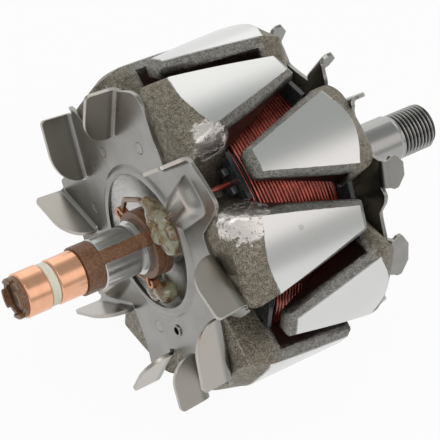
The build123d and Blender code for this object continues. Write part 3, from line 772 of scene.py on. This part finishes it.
# Shaft
def cut_off(bm, x, keep_below):
    """Cuts the mesh at x, in millimetres, and keeps one side."""
    bmesh.ops.bisect_plane(
        bm,
        geom=bm.verts[:] + bm.edges[:] + bm.faces[:],
        plane_co=(x * MM, 0, 0),
        plane_no=(1, 0, 0),
        clear_outer=keep_below,
        clear_inner=not keep_below,
    )


def shaft_body():
    """The shaft's own solid, up to the thread."""
    bm = bmesh.new()
    bm.from_mesh(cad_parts["shaft"].data)
    cut_off(bm, THREAD_START, True)
    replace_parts(as_piece("shaft_body", as_mesh(bm, "shaft_body", 1), STEEL), "shaft")


def pulley_thread():
    """A helical ridge up to the chamfered end, and the end face with its centre hole."""
    turns = int((THREAD_END - THREAD_START) / THREAD_PITCH) + 3
    points, faces = [], []
    for step in range(turns * THREAD_STEPS + 1):
        turn = 2 * math.pi * step / THREAD_STEPS
        for share, depth in THREAD_PROFILE:
            x = THREAD_START - 1.5 * THREAD_PITCH + THREAD_PITCH * (step / THREAD_STEPS + share)
            radius = THREAD_RADIUS - THREAD_DEPTH * depth * limited((x - THREAD_START) / THREAD_RUN_IN)
            radius = min(radius, THREAD_RADIUS - max(0.0, x - (THREAD_END - THREAD_CHAMFER)))
            points.append((x, radius * math.cos(turn), radius * math.sin(turn)))
    count = len(THREAD_PROFILE)
    for step in range(turns * THREAD_STEPS):
        for k in range(count - 1):
            here, there = step * count + k, (step + 1) * count + k
            faces.append((here, here + 1, there + 1, there))
    for number, (depth, radius) in enumerate(CENTRE_HOLE):
        start = len(points)
        last = start - HOLE_STEPS
        for step in range(HOLE_STEPS):
            turn = 2 * math.pi * step / HOLE_STEPS
            points.append((THREAD_END - depth, radius * math.cos(turn), radius * math.sin(turn)))
            if number:
                after = (step + 1) % HOLE_STEPS
                faces.append((last + step, last + after, start + after, start + step))
    thread = piece("pulley_thread", points, faces, STEEL)
    bm = bmesh.new()
    bm.from_mesh(thread.data)
    cut_off(bm, THREAD_START, False)
    cut_off(bm, THREAD_END + 0.001, True)
    bm.to_mesh(thread.data)
    bm.free()
    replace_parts(thread, "shaft")


# Fans
def fold_line(fan, blade):
    """The bend line of a blade: its start, its direction and its length."""
    tip_share, tip_angle, foot_share, foot_angle = blade[:4]
    foot = on_disc(fan["radius"] * foot_share, foot_angle)
    tip = on_disc(fan["radius"] * tip_share, tip_angle)
    along = (tip - foot).normalized()
    inward = Vector((-along.y, along.x))
    return foot + inward * (FAN_SHEET + FAN_BEND), along, (tip - foot).length


def lobe_line(fan, blade, following):
    """Points round the disc's edge from one bend line to the next, on a smooth curve."""
    tip_share, tip_angle, _, _, hold, end, valley = blade
    start, along, length = fold_line(fan, blade)
    leave = start + along * length
    arrive = fold_line(fan, following)[0]
    gap = (following[3] - tip_angle) % 360
    crest = min(fan["lobe"], tip_share + LOBE_RISE)
    knots = [leave - along, leave]
    for share, rise in LOBE_FALL:
        angle = tip_angle + (hold + share * (end - hold)) * gap
        knots.append(on_disc(fan["radius"] * (valley + rise * (crest - valley)), angle))
    knots += [arrive, arrive + along]
    line = []
    for a, b, c, d in zip(knots, knots[1:], knots[2:], knots[3:]):
        for k in range(LOBE_STEPS):
            t = k / LOBE_STEPS
            slope = (c - a) * (t / 2)
            bend = (2 * a - 5 * b + 4 * c - d) * (t * t / 2)
            twist = (3 * (b - c) + d - a) * (t**3 / 2)
            line.append(b + slope + bend + twist)
    return line[1:]


def pressed_height(fan, place):
    """How far the sheet is pressed outwards at a place, by the hub bead and the tunnels."""
    bead = (place.length - fan["hole"]) / HUB_BEAD
    height = 0.0
    if bead < 1:
        height = HUB_BEAD_HEIGHT * math.sin(math.pi * min(1.0, HUB_BEAD_START + (1 - HUB_BEAD_START) * bead))
    for angle in fan["tunnels"]:
        out = place.dot(on_disc(1.0, angle))
        across = abs(place.dot(on_disc(1.0, angle + 90)))
        share = (out - fan["hole"]) / (TUNNEL_REACH - fan["hole"])
        rise = TUNNEL_MOUTH + (TUNNEL_HEIGHT - TUNNEL_MOUTH) * share
        width = TUNNEL_WIDTH * (1 - TUNNEL_NARROWING + TUNNEL_NARROWING * share)
        side = smooth_step((width - across) / TUNNEL_WALL)
        end = smooth_step((TUNNEL_REACH - out) / TUNNEL_SLOPE)
        if out > 0:
            height = max(height, rise * side * end)
    return height


def blade_span(fan, length, height):
    """Where a blade starts and ends along its bend line, at a height above the disc."""
    share = height / fan["height"]
    if fan["square"]:
        spread = BLADE_OVERHANG * limited((share - TAB_SPREAD_FROM) / TAB_SPREAD_OVER)
        corner = limited((share - TAB_CORNER_FROM) / (1 - TAB_CORNER_FROM))
        inset = (TAB_CORNER * length + BLADE_OVERHANG) * corner
        return inset - spread, length + spread - inset
    turned = quarter_circle((share - ROUND_FROM) / (1 - ROUND_FROM))
    low = (ROUND_LENGTH * length + BLADE_OVERHANG) * turned - BLADE_OVERHANG * limited(share / ROUND_FROM)
    heel = HEEL_RADIUS * quarter_circle((share - HEEL_FROM) / (1 - HEEL_FROM))
    return low, length + BLADE_OVERHANG * share - heel


def fan_disc(bm, fan, base):
    """The lobed disc: its rows of points from the hub hole out, and the row where each bend starts."""
    blades = fan["blades"]
    edge, folds = [], []
    for blade, following in zip(blades, blades[1:] + blades[:1]):
        start, along, length = fold_line(fan, blade)
        folds.append(len(edge))
        edge += [start + along * (length * step / FOLD_STEPS) for step in range(FOLD_STEPS + 1)]
        edge += lobe_line(fan, blade, following)
    rows = []
    for place in edge:
        inner = place.normalized() * fan["hole"]
        row = []
        for step in range(DISC_STEPS + 1):
            share = step / DISC_STEPS
            spot = inner.lerp(place, share)
            calm = min(1.0, (1 - share) * (place - inner).length / CALM_RIM)
            x = base + fan["side"] * pressed_height(fan, spot) * calm
            row.append(bm.verts.new((x, spot.x, spot.y)))
        rows.append(row)
    for here, there in zip(rows, rows[1:] + rows[:1]):
        for step in range(DISC_STEPS):
            bm.faces.new((here[step], here[step + 1], there[step + 1], there[step]))
    return rows, folds


def fan_blade(bm, fan, base, blade, below):
    """A blade with its rolled bend, from the points of the disc's edge below it."""
    start, along, length = fold_line(fan, blade)
    outward = Vector((along.y, -along.x))
    bend = FAN_BEND + FAN_SHEET / 2
    top = fan["height"] - bend
    turns = [math.pi / 2 * k / BEND_STEPS for k in range(1, BEND_STEPS + 1)]
    levels = [(bend * math.sin(turn), bend * (1 - math.cos(turn))) for turn in turns]
    for step in range(1, BLADE_STEPS + 1):
        levels.append((bend, bend + top * math.sin(math.pi / 2 * step / BLADE_STEPS)))
    for away, height in levels:
        low, high = blade_span(fan, length, height)
        line = []
        for step in range(FOLD_STEPS + 1):
            spot = start + along * (low + (high - low) * step / FOLD_STEPS) + outward * away
            line.append(bm.verts.new((base + fan["side"] * height, spot.x, spot.y)))
        for step in range(FOLD_STEPS):
            bm.faces.new((below[step], below[step + 1], line[step + 1], line[step]))
        below = line


def thickened(bm, thickness):
    """Gives a surface a thickness, half to each side, with its rim closed."""
    bm.normal_update()
    middle = {vert: (vert.co.copy(), vert.normal.copy()) for vert in bm.verts}
    back = {vert: bm.verts.new(co - normal * thickness / 2) for vert, (co, normal) in middle.items()}
    for vert, (co, normal) in middle.items():
        vert.co = co + normal * thickness / 2
    for edge in [edge for edge in bm.edges if edge.is_boundary]:
        first, second = edge.verts
        bm.faces.new((first, second, back[second], back[first]))
    for face in [face for face in bm.faces if all(vert in back for vert in face.verts)]:
        bm.faces.new([back[vert] for vert in reversed(face.verts)])


def pressed_fan(name, fan):
    """A fan of pressed sheet: lobed disc, rolled bends and blades, all in one surface with a thickness."""
    base = fan["face"] + fan["side"] * FAN_SHEET / 2
    bm = bmesh.new()
    rows, folds = fan_disc(bm, fan, base)
    for blade, first in zip(fan["blades"], folds):
        fan_blade(bm, fan, base, blade, [row[-1] for row in rows[first : first + FOLD_STEPS + 1]])
    bmesh.ops.remove_doubles(bm, verts=bm.verts, dist=FAN_MERGE)
    bmesh.ops.recalc_face_normals(bm, faces=bm.faces)
    thickened(bm, FAN_SHEET)
    bmesh.ops.recalc_face_normals(bm, faces=bm.faces)
    mesh = as_mesh(bm, name)
    mesh.shade_smooth()
    mesh.set_sharp_from_angle(angle=math.radians(FAN_CREASE))
    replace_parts(as_piece(name, mesh, SHEET), fan["node"])


def eyelet():
    """The rolled rim of a small hole in the rear fan."""
    y, z = on_disc(*EYELET)
    bm = bmesh.new()
    section = []
    for step in range(EYELET_STEPS):
        turn = math.tau * step / EYELET_STEPS
        out = EYELET_RADIUS + EYELET_RIM * math.cos(turn)
        proud = EYELET_RIM * (EYELET_STAND + math.sin(turn))
        section.append(bm.verts.new((REAR_FACE - FAN_SHEET - proud, y + out, z)))
    edges = [bm.edges.new(ends) for ends in zip(section, section[1:] + section[:1])]
    bmesh.ops.spin(
        bm,
        geom=section + edges,
        cent=(0, y, z),
        axis=(1, 0, 0),
        angle=math.tau,
        steps=2 * EYELET_STEPS,
    )
    bmesh.ops.remove_doubles(bm, verts=bm.verts, dist=EYELET_MERGE)
    bmesh.ops.recalc_face_normals(bm, faces=bm.faces)
    mesh = as_mesh(bm, "fan_eyelet")
    mesh.shade_smooth()
    as_piece("fan_eyelet", mesh, SHEET)


# Varnish
def set_varnish(name, lumps):
    """A lump of varnish as it ran and set: balls run together, sagged and uneven."""
    bm = bmesh.new()
    for x, radius, angle, size in lumps:
        place = on_disc(radius, angle)
        ball = bmesh.ops.create_icosphere(bm, subdivisions=4, radius=size)["verts"]
        for vert in ball:
            wave = noise.noise(vert.co / LUMP_WAVE + Vector((x, radius, angle)))
            vert.co *= 1 + LUMP_UNEVENNESS * wave
        bmesh.ops.translate(bm, verts=ball, vec=(x, place.x, place.y))
    rough = as_object(name + "_balls", as_mesh(bm, name))
    joined = rough.modifiers.new("joined", "REMESH")
    joined.mode = "VOXEL"
    joined.voxel_size = VARNISH_VOXEL * MM
    eased = rough.modifiers.new("eased", "SMOOTH")
    eased.factor, eased.iterations = 0.5, VARNISH_EASE
    whole = settled(rough)
    normals = [vert.normal.copy() for vert in whole.vertices]
    for vert, normal in zip(whole.vertices, normals):
        wave = noise.noise(vert.co / (VARNISH_WAVE * MM))
        wave += RIPPLE_SHARE * noise.noise(vert.co / (VARNISH_RIPPLE * MM))
        vert.co += normal * (wave * VARNISH_SWELL * MM)
    whole.shade_smooth()
    return as_piece(name, whole, RESIN)


rounded_pole("rear_claw_pole", REAR_FACE, REAR_CORNER, 0)
rounded_pole("drive_claw_pole", DRIVE_FACE, DRIVE_CORNER, 180 / CLAW_COUNT)
lead_posts()
eyelet()
winding()
shaft_body()
pulley_thread()
pressed_fan("rear_fan_sheet", REAR_FAN)
pressed_fan("drive_fan_sheet", DRIVE_FAN)
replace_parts(set_varnish("varnish_over_upper_lead", UPPER_LUMPS), "varnish_bead_a")
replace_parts(set_varnish("varnish_over_lower_lead", LOWER_LUMPS), "varnish_bead_b")


# Camera, floor and light
def aim_camera():
    """The photograph's view: the rotor is turned about its shaft by the claws' phase."""
    azimuth, elevation = math.radians(AZIMUTH), math.radians(ELEVATION)
    level = Vector((math.sin(azimuth), -math.cos(azimuth), 0))
    back = level * math.cos(elevation) + Vector((0, 0, math.sin(elevation)))
    right = Vector((math.cos(azimuth), math.sin(azimuth), 0))
    turn = Matrix.Rotation(math.radians(CLAW_PHASE), 3, "X")
    back, right = turn @ back, turn @ right
    facing = Matrix((right, back.cross(right), back)).transposed().to_4x4()
    data = bpy.data.cameras.new("camera")
    data.sensor_width = SENSOR
    data.lens = FOCAL_LENGTH / PICTURE * SENSOR
    data.shift_x = (PICTURE / 2 - AXIS_ACROSS) / PICTURE
    data.shift_y = (AXIS_DOWN - PICTURE / 2) / PICTURE
    data.clip_start, data.clip_end = 0.05, 20
    camera = as_object("camera", data)
    place = Vector((POLE_MIDDLE * MM, 0, 0)) + back * CAMERA_DISTANCE
    camera.matrix_world = Matrix.Translation(place) @ facing
    bpy.context.scene.camera = camera


def stage():
    """A pale floor that the camera and the metal see as white, with the rotor's shadow on it."""
    floor = Finish("pale_floor", Roughness=0.9, Base_Color=(0.8, 0.8, 0.79))
    rays = [f"Is {kind} Ray" for kind in ("Camera", "Glossy", "Transmission")]
    camera, glossy, transmission = (floor.add("ShaderNodeLightPath", output=ray) for ray in rays)
    seen = (camera + glossy + transmission).clamped() * FLOOR_WHITE
    white = floor.add("ShaderNodeEmission", {}, {"Color": (1, 1, 1), "Strength": 1.0})
    matt = Wire(floor, floor.shader.outputs[0])
    floor.plug(floor.output.inputs[0], floor.add("ShaderNodeMixShader", {}, {0: seen, 1: matt, 2: white}))
    mesh = bpy.data.meshes.new("floor")
    level = cad_box[0][2] - FLOOR_GAP
    corners = [(-1, -1), (1, -1), (1, 1), (-1, 1)]
    mesh.from_pydata([(x * FLOOR_HALF, y * FLOOR_HALF, level) for x, y in corners], [], [(0, 1, 2, 3)])
    mesh.materials.append(floor.material)
    as_object("floor", mesh)


def studio():
    """A soft grey room with bright and dark bands in front, seen white by the camera."""
    world = bpy.data.worlds.new("studio")
    bpy.context.scene.world = world
    world.use_nodes = True
    room = Tree(world.node_tree)
    way = room.add("ShaderNodeTexCoord", output="Generated")
    x, y, z = (room.add("ShaderNodeSeparateXYZ", {}, {0: way}, k) for k in range(3))
    lift = z.math("ARCTAN2", y)
    front = x.ramp(-0.35, 0.1)
    tone = room.mix(z.ramp(-0.2, 0.6), (0.58, 0.58, 0.57), (0.46, 0.475, 0.46))
    for low, high, edge, light in ROOM_BANDS:
        tone = room.mix(lift.between(*map(math.radians, (low, high, edge))) * front, tone, light)
    seen = room.add("ShaderNodeLightPath", output="Is Camera Ray")
    room.plug(world.node_tree.nodes["Background"].inputs[0], room.mix(seen, tone, (1, 1, 1)))


def key_lamp():
    """A wide soft lamp above the slip rings' end."""
    data = bpy.data.lights.new("key", "AREA")
    data.shape = "RECTANGLE"
    data.size, data.size_y = LAMP_SIZE
    data.energy = LAMP_POWER
    light = as_object("key", data)
    aim = Vector((POLE_MIDDLE * MM, 0, 0)) - Vector(LAMP_PLACE)
    light.rotation_euler = aim.to_track_quat("-Z", "Y").to_euler()
    light.location = LAMP_PLACE


aim_camera()
stage()
studio()
key_lamp()

bpy.context.scene.view_settings.view_transform = "Standard"
